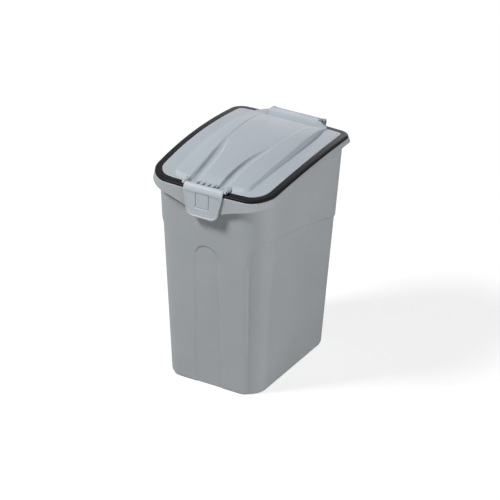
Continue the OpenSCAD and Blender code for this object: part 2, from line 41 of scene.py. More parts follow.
# Sizes in millimetres, the same as the solids have
BASE_W = 162.6
BASE_D = 224.8
SIDE_DRAFT = math.tan(math.radians(2.97))
FRONT_DRAFT = math.tan(math.radians(1.33))
BACK_DRAFT = math.tan(math.radians(4.17))
WALL = 2.4
FLOOR_T = 2.8
CORNER_BASE_R = 32.0
CORNER_TOP_R = 46.0
CORNER_BACK_R = 40.0
BASE_EDGE = 2.5
RECESS_DEPTH = 1.6
RECESS_BASE_X = 62.5
RECESS_TOP_X = 69.5
RECESS_TURN_Z = 229.0
RECESS_TURN_R = 26.0
RECESS_Z = 239.6
RECESS_FALL = 0.21
RECESS_BEND = 0.00042
PANEL_TOP_Z = 235.2
PANEL_TOP_W = 40.0
PANEL_BASE_W = 45.0
PANEL_DEPTH = 1.1
RIM_Z = 324.8
RIM_RISE = 10.8
RIM_ARCH = 8.4
RIM_SIDE_OUT = 1.25
RIM_FRONT_OUT = 0.66
RIM_BACK_IN = 1.58
RIM_HALF = BASE_W / 2 + RIM_Z * SIDE_DRAFT + RIM_SIDE_OUT
RIM_FRONT = -(BASE_D / 2 + RIM_Z * FRONT_DRAFT + RIM_FRONT_OUT)
RIM_BACK = BASE_D / 2 + RIM_Z * BACK_DRAFT - RIM_BACK_IN
RIM_FRONT_R = 34.0
RIM_BACK_R = 18.0
SIDE_BOW = 4.6
FRONT_BOW = 4.0
BACK_BOW = 4.2
FLANGE_PROUD = 0.6
FLANGE_FLARE = 1.96
FLANGE_H = 6.5
FRONT_FLANGE_H = 25.8
FLANGE_COVE = 8.0
FLANGE_DEEP_W = 66.0
FLANGE_FADE_W = 55.0
FLANGE_CORNER = 0.2
SEAL_W = 10.9
SEAL_H = 4.2
SEAL_GAP = 0.3
SEAL_TONGUE = 1.2
TONGUE_LOW = 0.9
TONGUE_HIGH = 1.7
LID_T = 2.4
BORDER_H = 4.4
SKIRT_H = 12.0
SKIRT_T = 2.2
SKIRT_IN = 3.0
RAISED_HALF = 59.0
RAISED_BOW = 5.0
RAISED_FRONT_BOW = 7.0
RAISED_R = 6.0
RAISED_BACK_R = 8.0
STEP_W = 3.6
STEP_BOW = 1.4
STEP_FRONT_W = 5.2
STEP_BACK_W = 1.5
FRONT_BORDER = 4.2
RAISED_BACK_GAP = 4.0
RAISED_H = 8.6
EDGE_SWELL = 5.5
CROWN_H = 5.0
RAISED_BACK_H = 5.7
GROOVE_FRONT_X = 24.7
GROOVE_BACK_X = 38.0
GROOVE_END_Y = 3.0
GROOVE_W = 15.0
GROOVE_DEPTH = 6.2
TONGUE_SINK = 1.3
NOTCH_COUNT = 4
NOTCH_PITCH = 9.1
NOTCH_W = 6.6
NOSE_FLOOR_T = 1.7
LATCH_W = 66.0
LATCH_LOW_W = 55.0
LATCH_DROP = 46.6
LATCH_T = 2.6
LATCH_CORNER_R = 13.0
LATCH_LEAN = 1.8
PAD_W = 23.4
PAD_DEPTH = 1.3
PAD_UP = 2.9
PAD_CORNER_R = 1.6
HOOK_W = 36.0
HOOK_REACH = 3.0
HOOK_H = 6.0
LATCH_BARREL_R = 3.2
BARREL_SEEN_R = 2.4
BARREL_HIDDEN_R = 1.7
NOTCH_APEX_Y = -108.8
NOTCH_FOOT_Y = -119.8
NOSE_END_Y = -118.2
LATCH_AXIS_UP = 7.8
LATCH_AXIS_BACK = -0.4
LUG_T = 3.6
BARREL_W = 84.0
BARREL_R = 4.5
HINGE_BACK = 12.5
HINGE_UP = 3.4
EAR_R = 5.2
EAR_T = 3.0
HOOD_H = 12.5
SHOULDER_X = 62.0
SIDE_GAP = 0.4

# Values of the finer meshes only, in millimetres unless they are shares or powers
RECESS_SOFT = 1.3
PANEL_SOFT = 0.8
FLOOR_ROUND = 6.0
UNDERCUT_SPREAD = 3.0
UNDERCUT_RISE = 3.0
COVE_SAG = 0.9
TOP_ROUND = 0.8
BACK_FALL_POWER = 8
CROWN_POWER = 3
SWING_POWER = 2.6
GROOVE_FLOOR_POWER = 3.2
GROOVE_RUN_OUT_POWER = 1.7
CREASE_SWING = 5.5
CREASE_HALF = 0.8
LATCH_EDGE_R = 1.9
LATCH_RIM_W = 2.6
LATCH_BACK_SHARE = 0.985
LATCH_FIELD_DEPTH = 1.0
POCKET_DEPTH = 2.0
NOTCH_DEPTH = 3.0
NOTCH_DEEPER = 2.0
TONGUE_BACK_FADE = 0.38
TONGUE_FRONT_Y = -92.0
TONGUE_FRONT_SINK = 0.6
SEAL_ROUND_W = 3.6
SEAL_ROUND_LOW = 1.2
NUB_X = 36.2
NUB_W = 2.6

AXIS_Y = RIM_FRONT + LATCH_AXIS_BACK
AXIS_Z = RIM_Z + LATCH_AXIS_UP
ROD_Y = RIM_BACK + HINGE_BACK
ROD_Z = RIM_Z + RIM_RISE + HINGE_UP
RAISED_FRONT = RIM_FRONT + SEAL_W + FRONT_BORDER + STEP_FRONT_W
RAISED_BACK = RIM_BACK - SEAL_W - RAISED_BACK_GAP
LID_LOW = RAISED_FRONT - RAISED_FRONT_BOW
NOSE_FRONT = AXIS_Y + LATCH_BARREL_R + SIDE_GAP
COLLAR_Z = RIM_Z - FRONT_FLANGE_H - FLANGE_COVE


# Helpers for numbers
def smooth(u):
    """0 below 0, 1 above 1, and a soft rise between."""
    v = np.clip(u, 0.0, 1.0)
    return v * v * (3 - 2 * v)


def circle_arc(cy, cz, radius, start, end, count):
    """Points (Y, Z) on an arc between two angles in degrees."""
    angles = np.radians(np.linspace(start, end, count))
    return np.column_stack([cy + radius * np.cos(angles), cz + radius * np.sin(angles)])


# Outlines
FRONT_N = 60
SIDE_N = 70
CORNER_N = 30


def plain_outline(w, yf, yb, rf, rb, nf=FRONT_N, ns=SIDE_N, nc=CORNER_N):
    """A box seen from above with round corners; w is half its width, yf and yb its front and back."""
    def line(a, b, n):
        t = np.arange(n) / n
        return np.outer(1 - t, a) + np.outer(t, b)

    def arc(cx, cy, r, start):
        a = np.radians(start + 90 * np.arange(nc) / nc)
        return np.stack([cx + r * np.cos(a), cy + r * np.sin(a)], 1)

    return np.concatenate([
        line((-(w - rf), yf), (w - rf, yf), nf),
        arc(w - rf, yf + rf, rf, -90),
        line((w, yf + rf), (w, yb - rb), ns),
        arc(w - rb, yb - rb, rb, 0),
        line((w - rb, yb), (-(w - rb), yb), nf),
        arc(-(w - rb), yb - rb, rb, 90),
        line((-w, yb - rb), (-w, yf + rf), ns),
        arc(-(w - rf), yf + rf, rf, 180)])


def outline(w, yf, yb, rf, rb, side=0.0, front=0.0, back=0.0, **counts):
    """The same outline with its sides, front and back bowed outwards."""
    p = plain_outline(w, yf, yb, rf, rb, **counts)
    t = (p[:, 1] - yf) / (yb - yf)
    end = 2 * t - 1
    across = 1 - (p[:, 0] / w) ** 2
    out_x = np.sign(p[:, 0]) * side * 4 * t * (1 - t) * (p[:, 0] / w) ** 2
    out_y = np.where(end < 0, -front, back) * across * end ** 2
    return np.stack([p[:, 0] + out_x, p[:, 1] + out_y], 1)


def rim_share(y):
    """0 at the rim's front and 1 at its back."""
    return np.clip((y - RIM_FRONT) / (RIM_BACK - RIM_FRONT), 0, 1)


def rim_z(y):
    """Height of the rim's arched and rising line."""
    s = rim_share(y)
    return RIM_Z + RIM_RISE * s + RIM_ARCH * 4 * s * (1 - s)


NOSE_LOW_Z = float(rim_z(np.array(RIM_FRONT + SEAL_W - FRONT_BOW + 1))) + SEAL_H + SEAL_GAP


def corner_front_r(z):
    return CORNER_BASE_R + (CORNER_TOP_R - CORNER_BASE_R) * z / RIM_Z


def tub_outline(z, inset):
    """The tub's wall at a height, or further in by an inset."""
    return outline(
        BASE_W / 2 + z * SIDE_DRAFT - inset,
        -BASE_D / 2 - z * FRONT_DRAFT + inset,
        BASE_D / 2 + z * BACK_DRAFT - inset,
        corner_front_r(z) - inset, CORNER_BACK_R - inset)


def tub_loop(z, inset):
    """A loop on the tub's wall; z may be one height or one for each point."""
    if np.ndim(z) == 0:
        p = tub_outline(z, inset)
        return np.column_stack([p, np.full(len(p), float(z))])
    lows = tub_outline(0.0, inset)
    highs = tub_outline(RIM_Z, inset)
    t = (z / RIM_Z)[:, None]
    return np.column_stack([lows * (1 - t) + highs * t, z])


def rim_outline(inset):
    """The rim's edge from above, or further in by an inset."""
    return outline(
        RIM_HALF - inset, RIM_FRONT + inset, RIM_BACK - inset,
        max(RIM_FRONT_R - inset, 4), max(RIM_BACK_R - inset, 4), SIDE_BOW, FRONT_BOW, BACK_BOW)


def rim_loop(inset, rise):
    """A loop that follows the rim, at a height above its line."""
    p = rim_outline(inset)
    return np.column_stack([p, rim_z(p[:, 1]) + rise])


def front_share(p):
    """1 where the front flange is deep, 0 at the sides and the back."""
    ahead = np.clip(-2 * p[:, 1] / -RIM_FRONT - 0.6, 0, 1) ** 2
    beside = np.clip((np.abs(p[:, 0]) - FLANGE_DEEP_W / 2) / FLANGE_FADE_W, 0, 1)
    return ahead * (1 - (1 - FLANGE_CORNER) * beside ** 0.75)


def flange_depth(p):
    """How far the flange hangs down from the rim's line."""
    return FLANGE_H + (FRONT_FLANGE_H - FLANGE_H) * front_share(p)


# Helpers for meshes
def make_mesh(name, verts, faces, sharp=35.0, body=None, slot=None, material=None):
    """One piece from points in millimetres, smooth but for edges sharper than an angle."""
    mesh = bpy.data.meshes.new(name)
    mesh.from_pydata([tuple(float(c) * MM for c in v) for v in verts], [], faces)
    bm = bmesh.new()
    bm.from_mesh(mesh)
    bmesh.ops.remove_doubles(bm, verts=bm.verts, dist=1e-6)
    bmesh.ops.recalc_face_normals(bm, faces=bm.faces)
    limit = math.radians(sharp)
    for edge in bm.edges:
        edge.smooth = len(edge.link_faces) == 2 and edge.calc_face_angle(3.0) < limit
    for face in bm.faces:
        face.smooth = True
    bm.to_mesh(mesh)
    bm.free()
    piece = bpy.data.objects.new(name, mesh)
    bpy.context.scene.collection.objects.link(piece)
    if material:
        mesh.materials.append(material)
    if body:
        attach(piece, body)
    return piece


def loft(name, loops, caps="", **more):
    """Quads between closed loops of equal count; caps closes the ends with fans or joins them."""
    n = len(loops[0])
    verts = [v for loop in loops for v in loop]
    faces = []
    for j in range(len(loops) - 1):
        a = j * n
        b = a + n
        for i in range(n):
            k = (i + 1) % n
            faces.append((a + i, a + k, b + k, b + i))
    if "first" in caps:
        verts.append(np.mean(loops[0], axis=0))
        c = len(verts) - 1
        faces += [(c, (i + 1) % n, i) for i in range(n)]
    if "last" in caps:
        verts.append(np.mean(loops[-1], axis=0))
        c = len(verts) - 1
        a = (len(loops) - 1) * n
        faces += [(c, a + i, a + (i + 1) % n) for i in range(n)]
    if "join" in caps:
        a = (len(loops) - 1) * n
        faces += [(a + i, a + (i + 1) % n, (i + 1) % n, i) for i in range(n)]
    return make_mesh(name, verts, faces, **more)


def belt_faces(rows, across):
    """Quads between rows of points, where the last row joins the first again."""
    faces = []
    for j in range(rows):
        a = j * across
        b = ((j + 1) % rows) * across
        faces += [(a + i, a + i + 1, b + i + 1, b + i) for i in range(across - 1)]
    return faces


def rounded(profile, radius, steps=3):
    """Round the corners of a closed flat profile; radius is one number or one for each corner."""
    out = []
    n = len(profile)
    for i in range(n):
        p = np.array(profile[i], float)
        a = np.array(profile[i - 1], float) - p
        b = np.array(profile[(i + 1) % n], float) - p
        r = radius[i] if isinstance(radius, (list, tuple)) else radius
        la = np.linalg.norm(a)
        lb = np.linalg.norm(b)
        reach = min(r, 0.45 * la, 0.45 * lb)
        if reach <= 0.02:
            out.append(p)
            continue
        start = p + a / la * reach
        end = p + b / lb * reach
        for t in np.linspace(0, 1, steps + 1):
            out.append((1 - t) ** 2 * start + 2 * t * (1 - t) * p + t * t * end)
    return np.array(out)


def prism(name, profile, x0, x1, edge=0.5, **more):
    """A profile in (Y, Z) pulled out along X, with softly rounded ends."""
    middle = profile.mean(axis=0)
    span = np.linalg.norm(profile - middle, axis=1)

    def slice_at(x, drop):
        p = middle + (profile - middle) * (1 - drop / np.maximum(span, 1e-6))[:, None]
        return np.column_stack([np.full(len(p), x), p])

    e = edge
    loops = [slice_at(x0, e), slice_at(x0 + e * 0.3, e * 0.3), slice_at(x0 + e, 0),
             slice_at(x1 - e, 0), slice_at(x1 - e * 0.3, e * 0.3), slice_at(x1, e)]
    return loft(name, loops, caps="first last", **more)


# Materials
def new_material(name):
    material = bpy.data.materials.new(name)
    material.use_nodes = True
    nodes = material.node_tree.nodes
    links = material.node_tree.links
    nodes.clear()
    out = nodes.new("ShaderNodeOutputMaterial")
    shader = nodes.new("ShaderNodeBsdfPrincipled")
    links.new(shader.outputs[0], out.inputs[0])
    return material, nodes, links, shader


def srgb(r, g, b):
    """An 8-bit screen colour as the linear colour that a shader takes."""
    def lin(c):
        c /= 255.0
        return c / 12.92 if c <= 0.04045 else ((c + 0.055) / 1.055) ** 2.4
    return (lin(r), lin(g), lin(b), 1.0)


def noise_node(nodes, links, coords, scale, detail=3.0, rough=0.55, seed=0.0):
    node = nodes.new("ShaderNodeTexNoise")
    node.noise_dimensions = "4D"
    node.inputs["W"].default_value = seed
    node.inputs["Scale"].default_value = scale
    node.inputs["Detail"].default_value = detail
    node.inputs["Roughness"].default_value = rough
    links.new(coords.outputs["Object"], node.inputs["Vector"])
    return node


def ramp_node(nodes, links, source, stops):
    ramp = nodes.new("ShaderNodeValToRGB")
    while len(ramp.color_ramp.elements) < len(stops):
        ramp.color_ramp.elements.new(0.5)
    for element, (place, colour) in zip(ramp.color_ramp.elements, stops):
        element.position = place
        element.color = colour
    links.new(source, ramp.inputs[0])
    return ramp


def grey(v):
    return (v, v, v, 1.0)


def moulded_plastic(name, dark, light, seed, rough=(0.44, 0.56), grain=0.012, specular=0.36):
    """Semi-matt moulded plastic: slow colour drift, fine satin grain, faint flow and handling marks."""
    material, nodes, links, shader = new_material(name)
    coords = nodes.new("ShaderNodeTexCoord")
    drift = noise_node(nodes, links, coords, 14.0, 3.0, 0.55, seed)
    colour = ramp_node(nodes, links, drift.outputs[0], [(0.3, dark), (0.7, light)])
    links.new(colour.outputs[0], shader.inputs["Base Color"])
    marks = noise_node(nodes, links, coords, 60.0, 5.0, 0.65, seed + 3.0)
    gloss = ramp_node(nodes, links, marks.outputs[0], [(0.3, grey(rough[0])), (0.75, grey(rough[1]))])
    links.new(gloss.outputs[0], shader.inputs["Roughness"])
    fine = noise_node(nodes, links, coords, 2600.0, 2.0, 0.5, seed + 7.0)
    slow = noise_node(nodes, links, coords, 70.0, 2.0, 0.5, seed + 9.0)
    low_bump = nodes.new("ShaderNodeBump")
    low_bump.inputs["Strength"].default_value = 0.06
    low_bump.inputs["Distance"].default_value = 0.0006
    links.new(slow.outputs[0], low_bump.inputs["Height"])
    fine_bump = nodes.new("ShaderNodeBump")
    fine_bump.inputs["Strength"].default_value = 0.35
    fine_bump.inputs["Distance"].default_value = grain * MM
    links.new(fine.outputs[0], fine_bump.inputs["Height"])
    links.new(low_bump.outputs[0], fine_bump.inputs["Normal"])
    links.new(fine_bump.outputs[0], shader.inputs["Normal"])
    shader.inputs["Specular IOR Level"].default_value = specular
    return material


def rubber(name):
    material, nodes, links, shader = new_material(name)
    coords = nodes.new("ShaderNodeTexCoord")
    drift = noise_node(nodes, links, coords, 40.0, 4.0, 0.6, 21.0)
    colour = ramp_node(nodes, links, drift.outputs[0], [(0.3, srgb(7, 7, 8)), (0.75, srgb(14, 14, 16))])
    links.new(colour.outputs[0], shader.inputs["Base Color"])
    dust = noise_node(nodes, links, coords, 300.0, 3.0, 0.6, 23.0)
    gloss = ramp_node(nodes, links, dust.outputs[0], [(0.3, grey(0.36)), (0.8, grey(0.5))])
    links.new(gloss.outputs[0], shader.inputs["Roughness"])
    grain = nodes.new("ShaderNodeBump")
    grain.inputs["Strength"].default_value = 0.3
    grain.inputs["Distance"].default_value = 0.00003
    links.new(dust.outputs[0], grain.inputs["Height"])
    links.new(grain.outputs[0], shader.inputs["Normal"])
    shader.inputs["Specular IOR Level"].default_value = 0.12
    return material


def brushed_steel(name):
    """Steel with fine lines along the pin's length."""
    material, nodes, links, shader = new_material(name)
    coords = nodes.new("ShaderNodeTexCoord")
    stretch = nodes.new("ShaderNodeMapping")
    stretch.inputs["Scale"].default_value = (30.0, 900.0, 900.0)
    links.new(coords.outputs["Object"], stretch.inputs["Vector"])
    lines = nodes.new("ShaderNodeTexNoise")
    lines.inputs["Scale"].default_value = 1.0
    lines.inputs["Detail"].default_value = 4.0
    links.new(stretch.outputs[0], lines.inputs["Vector"])
    tones = [(0.3, srgb(150, 152, 156)), (0.7, srgb(186, 188, 191))]
    colour = ramp_node(nodes, links, lines.outputs[0], tones)
    links.new(colour.outputs[0], shader.inputs["Base Color"])
    gloss = ramp_node(nodes, links, lines.outputs[0], [(0.3, grey(0.22)), (0.7, grey(0.4))])
    links.new(gloss.outputs[0], shader.inputs["Roughness"])
    shader.inputs["Metallic"].default_value = 1.0
    return material


TUB_MAT = moulded_plastic("tub_moulded", srgb(175, 180, 183), srgb(180, 185, 188), 1.0)
LID_MAT = moulded_plastic("lid_moulded", srgb(180, 188, 196), srgb(185, 193, 201), 5.0)
LATCH_MAT = moulded_plastic("latch_moulded", srgb(186, 194, 200), srgb(191, 199, 205), 9.0)
SEAL_MAT = rubber("seal_rubber_black")
STEEL_MAT = brushed_steel("steel_drawn")
TUB_PIECE = {"body": "tub", "slot": "tub_plastic", "material": TUB_MAT}
LID_PIECE = {"body": "lid", "slot": "lid_plastic", "material": LID_MAT}
SEAL_PIECE = {"body": "lid", "slot": "seal_rubber", "material": SEAL_MAT}
LATCH_PIECE = {"body": "latch", "slot": "latch_plastic", "material": LATCH_MAT}


# Tub
def recess_mask(p, z):
    """How far inside the side recess a point of the wall lies, in millimetres (negative outside)."""
    x = np.abs(p[:, 0])
    lean = RECESS_BASE_X + (RECESS_TOP_X - RECESS_BASE_X) * np.clip(z / RECESS_TURN_Z, 0, 1)
    turn_x = RECESS_TOP_X + RECESS_TURN_R
    up = z - RECESS_TURN_Z
    straight = x - lean
    round_part = RECESS_TURN_R - np.hypot(x - turn_x, np.maximum(up, 0))
    side = np.where((up > 0) & (x < turn_x), round_part, straight)
    top = RECESS_Z - RECESS_FALL * p[:, 1] - RECESS_BEND * p[:, 1] ** 2 - z
    front_or_back = np.minimum(side, top)
    return front_or_back


def panel_mask(p, z):
    """How far inside the arched front panel a point lies."""
    half = (PANEL_BASE_W + (PANEL_TOP_W - PANEL_BASE_W) * z / PANEL_TOP_Z) / 2
    spring = PANEL_TOP_Z - PANEL_TOP_W / 2
    inside = half - np.abs(p[:, 0])
    arch = PANEL_TOP_W / 2 - np.hypot(p[:, 0], z - spring)
    inside = np.where(z > spring, arch, inside)
    return np.where(p[:, 1] < 0, inside, -10.0)


def tub_outer(z, inset=0.0):
    """A loop on the tub's wall with the side recesses and the front panel let in."""
    p = tub_outline(z, inset)
    nxt = np.roll(p, -1, axis=0) - np.roll(p, 1, axis=0)
    normal = np.stack([nxt[:, 1], -nxt[:, 0]], 1)
    normal /= np.linalg.norm(normal, axis=1)[:, None]
    deep = RECESS_DEPTH * smooth(recess_mask(p, z) / RECESS_SOFT + 0.5)
    panel = PANEL_DEPTH * smooth(panel_mask(p, z) / PANEL_SOFT + 0.5)
    q = p - normal * (deep + panel)[:, None]
    return np.column_stack([q, np.full(len(q), z)])


def wall_loops():
    """The outside of the tub from the floor up to the flange, with close loops at the recess's top."""
    loops = [tub_outer(0.0, BASE_EDGE + 4.0), tub_outer(0.0, BASE_EDGE)]
    for a in np.radians(np.linspace(0, 90, 6)[1:-1]):
        loops.append(tub_outer(BASE_EDGE * (1 - math.cos(a)), BASE_EDGE * (1 - math.sin(a))))
    z = BASE_EDGE
    loops.append(tub_outer(z + 1e-6))
    while z < COLLAR_Z - 2:
        near = RECESS_TURN_Z - 24 < z < RECESS_Z + 32
        z += 1.0 if near else 3.0
        loops.append(tub_outer(z))
    return loops


def flange_loops():
    """From the wall through the flange's underside, low edge and face to its top."""
    loops = []
    root_guide = tub_outline(RIM_Z, 0)
    hollow = smooth(UNDERCUT_SPREAD * front_share(root_guide))
    under = rim_z(root_guide[:, 1]) - flange_depth(root_guide)
    root_z = under - FLANGE_COVE * (1 - hollow) + UNDERCUT_RISE * hollow
    collar = tub_loop(COLLAR_Z, 0)
    root = tub_loop(root_z, 0)
    low_p = rim_outline(-FLANGE_PROUD - FLANGE_FLARE)
    low_z = rim_z(low_p[:, 1]) - flange_depth(low_p)
    low = np.column_stack([low_p, low_z])
    for t in (0.0, 0.25, 0.5, 0.75, 0.93):
        loops.append(collar * (1 - t) + root * t)
    for t in (0.0, 0.1, 0.3, 0.55, 0.8, 0.94, 0.985):
        mix = root * (1 - t) + low * t
        sag = COVE_SAG * math.sin(math.pi * t)
        mix[:, 2] += sag * (1 - hollow)
        loops.append(mix)
    loops.append(low + [0, 0, 0.15])
    low_in = rim_outline(-FLANGE_PROUD - FLANGE_FLARE + 0.1)
    loops.append(np.column_stack([low_in, low_z + 0.7]))
    face_top = rim_loop(-FLANGE_PROUD, -1.5 * TOP_ROUND)
    base_row = loops[-1]
    for t in (0.2, 0.4, 0.6, 0.8):
        loops.append(base_row * (1 - t) + face_top * t)
    loops.append(face_top)
    for a in np.radians((20, 45, 70)):
        inward = TOP_ROUND * (1 - math.cos(a))
        loops.append(rim_loop(inward - FLANGE_PROUD, -1.5 * TOP_ROUND * (1 - math.sin(a))))
    loops.append(rim_loop(TOP_ROUND - FLANGE_PROUD, 0))
    return loops


def inside_loops():
    """From the rim's inner edge down the inside to the rounded floor."""
    guide = tub_outline(RIM_Z, WALL)
    loops = [tub_loop(rim_z(guide[:, 1]), WALL), tub_loop(rim_z(guide[:, 1]) - 1.0, WALL + 0.4)]
    loops.append(tub_loop(COLLAR_Z, WALL))
    loops += [tub_outer(z, WALL) for z in (240.0, 180.0, 120.0, 60.0, 20.0, FLOOR_T + FLOOR_ROUND)]
    for a in np.radians(np.linspace(0, 90, 5)):
        inward = FLOOR_ROUND * (1 - math.cos(a))
        loops.append(tub_outer(FLOOR_T + FLOOR_ROUND * (1 - math.sin(a)), WALL + inward))
    return loops


def build_tub():
    loops = wall_loops() + flange_loops() + inside_loops()
    return loft("tub_shell", loops, caps="first last", sharp=40, **TUB_PIECE)


def build_ears():
    """The two ears of the tub that hold the ends of the hinge rod."""
    root_low = RIM_Z - FLANGE_H - FLANGE_COVE
    root_high = RIM_Z + RIM_RISE - FLANGE_H / 5
    inner_y = BASE_D / 2 + root_high * BACK_DRAFT - WALL / 2
    low_y = BASE_D / 2 + root_low * BACK_DRAFT - WALL / 2
    front_y = ROD_Y - EAR_R
    arc = [tuple(point) for point in circle_arc(ROD_Y, ROD_Z, EAR_R, -15, 180, 22)]
    profile = [(low_y, root_low), (low_y + 3 * WALL, root_low + WALL), (ROD_Y + EAR_R, ROD_Z - EAR_R / 2)]
    profile += arc
    profile += [(front_y, root_high), (inner_y, root_high)]
    profile = rounded(profile, 0.8)
    ears = []
    x0 = BARREL_W / 2 + SIDE_GAP
    for side, name in ((1, "hinge_ear_right"), (-1, "hinge_ear_left")):
        a, b = sorted((side * x0, side * (x0 + EAR_T)))
        ears.append(prism(name, profile, a, b, 0.5, sharp=32, **TUB_PIECE))
    return ears


# Lid
def lid_share(y):
    return np.clip((y - LID_LOW) / (RAISED_BACK - LID_LOW), 0, 1)


def edge_h(t):
    high = RAISED_H + EDGE_SWELL * t
    return high - (RAISED_H + EDGE_SWELL - RAISED_BACK_H) * t ** BACK_FALL_POWER


def groove_u(y):
    start = LID_LOW - 1.0
    return (y - start) / (GROOVE_END_Y - start)


def groove_mid(y):
    u = np.clip(groove_u(y), 0, 1)
    return GROOVE_FRONT_X + (GROOVE_BACK_X - GROOVE_FRONT_X) * u ** SWING_POWER


def groove_half(y):
    u = np.clip(groove_u(y), 0, 1)
    return GROOVE_W / 2 * (1 - u ** 2.5) ** 0.45 + 0.3


def groove_drop(x, y):
    """Depth of the two grooves at a place on the lid."""
    u = np.clip(groove_u(y), 0, 1)
    across = np.abs((np.abs(x) - groove_mid(y)) / groove_half(y))
    shape = 1 - np.clip(across, 0, 1) ** GROOVE_FLOOR_POWER
    deep = GROOVE_DEPTH * (1 - u ** GROOVE_RUN_OUT_POWER) * (0.75 + 0.25 * np.minimum(1, 4 * u))
    return deep * shape


def crease_x(y):
    """The line on which the tongue's sink ends: the groove's inner side, then a crease to the hood."""
    u = np.clip((y - GROOVE_END_Y) / (RAISED_BACK - GROOVE_END_Y), 0, 1)
    return np.where(y < GROOVE_END_Y, groove_mid(y), GROOVE_BACK_X + CREASE_SWING * u)


def tongue_drop(x, y):
    """How far the tongue between the grooves lies lower than the panels beside it."""
    wide = np.maximum(groove_half(y) * 0.9 + 0.5, CREASE_HALF)
    inside = smooth(0.5 + (crease_x(y) - np.abs(x)) / (2 * wide))
    fade = 1 - TONGUE_BACK_FADE * smooth((y - GROOVE_END_Y + 14.0) / 24.0)
    front = 1 + TONGUE_FRONT_SINK * smooth((TONGUE_FRONT_Y - y) / 14.0)
    return TONGUE_SINK * inside * fade * front


def lid_top(x, y):
    """Height of the lid's top surface over the raised part."""
    t = lid_share(y)
    half = RAISED_HALF + RAISED_BOW * 4 * t * (1 - t)
    crown = CROWN_H * np.sqrt(4 * t * (1 - t)) * (1 - np.minimum(1, np.abs(x) / half) ** CROWN_POWER)
    return rim_z(y) + edge_h(t) + crown - groove_drop(x, y) - tongue_drop(x, y)


def raised_outline(out, front, back, bow=RAISED_BOW):
    """The edge of the raised part from above, moved out by its arguments."""
    return outline(
        RAISED_HALF + out, RAISED_FRONT - front, RAISED_BACK + back,
        RAISED_R + out, RAISED_BACK_R + out, bow, RAISED_FRONT_BOW, 0)


LID_MID = (RAISED_FRONT + RAISED_BACK) / 2


def lid_ring(share, inset, drop):
    """A loop on the raised part, shrunk towards its middle by a share."""
    p = raised_outline(-inset, -inset, -inset)
    x = p[:, 0] * share
    y = LID_MID + (p[:, 1] - LID_MID) * share
    return np.column_stack([x, y, lid_top(x, y) - drop])


def foot_ring(inset, rise):
    """The foot of the step round the raised part."""
    p = raised_outline(STEP_W - inset, STEP_FRONT_W - inset, STEP_BACK_W - inset, RAISED_BOW + STEP_BOW)
    return np.column_stack([p, rim_z(p[:, 1]) + rise])


def build_lid_shell():
    """One skin: the underside, the skirt, the border, the step and the domed top."""
    shares = np.concatenate([np.linspace(0.02, 0.9, 56), np.linspace(0.91, 0.985, 9)])
    loops = [lid_ring(s, LID_T, LID_T) for s in (0.1, 0.3, 0.5, 0.7, 0.85, 0.95, 1.0)]
    loops.append(foot_ring(LID_T, BORDER_H - LID_T))
    skirt_out = SEAL_W + SKIRT_IN
    skirt_inner = skirt_out + SKIRT_T
    for inset, rise in (
            (skirt_inner, BORDER_H - LID_T), (skirt_inner, -SKIRT_H + 0.6), (skirt_inner - 0.5, -SKIRT_H),
            (skirt_out + 0.5, -SKIRT_H), (skirt_out, -SKIRT_H + 0.6), (skirt_out, -SKIRT_IN),
            (SEAL_W, TONGUE_LOW), (SEAL_W, SEAL_H - 0.6), (SEAL_W + 0.15, SEAL_H - 0.2),
            (SEAL_W + 0.55, BORDER_H - 0.08), (SEAL_W + 1.0, BORDER_H)):
        loops.append(rim_loop(inset, rise))
    foot = foot_ring(0, BORDER_H)
    border = rim_loop(SEAL_W + 1.0, BORDER_H)
    loops.append(border * 0.5 + foot * 0.5)
    top = lid_ring(1.0, 0.0, 0.0)
    # a soft fillet at the foot, a straight slope and a rounded shoulder at the top
    out = foot[:, :2] - top[:, :2]
    high = top[:, 2] - foot[:, 2]
    for w, h in ((1.0, 0.0), (1.0, 0.02), (0.9, 0.1), (0.74, 0.3), (0.58, 0.52), (0.42, 0.74), (0.28, 0.9),
                 (0.16, 0.97), (0.07, 0.995)):
        loops.append(np.column_stack([top[:, :2] + out * w, foot[:, 2] + high * h]))
    loops.append(lid_ring(0.995, 0, 0))
    for s in shares[::-1]:
        loops.append(lid_ring(s, 0, 0))
    return loft("lid_shell", loops, caps="first last", sharp=40, **LID_PIECE)


def notch_length(y):
    """0 where the notches between the ribs begin, 1 at their foot in the latch's bend."""
    return np.clip((NOTCH_APEX_Y - y) / (NOTCH_APEX_Y - NOTCH_FOOT_Y), 0, 1)


def notch_cut(x, y):
    """1 inside the notches, which widen towards the front, and 0 beside them."""
    half = NOTCH_W / 2 * notch_length(y)
    cut = 0.0 * x
    for i in range(NOTCH_COUNT):
        cx = (i - (NOTCH_COUNT - 1) / 2) * NOTCH_PITCH
        cut = cut + smooth((half - np.abs(x - cx)) / 0.5 + 0.5) * (half > 0)
    return cut


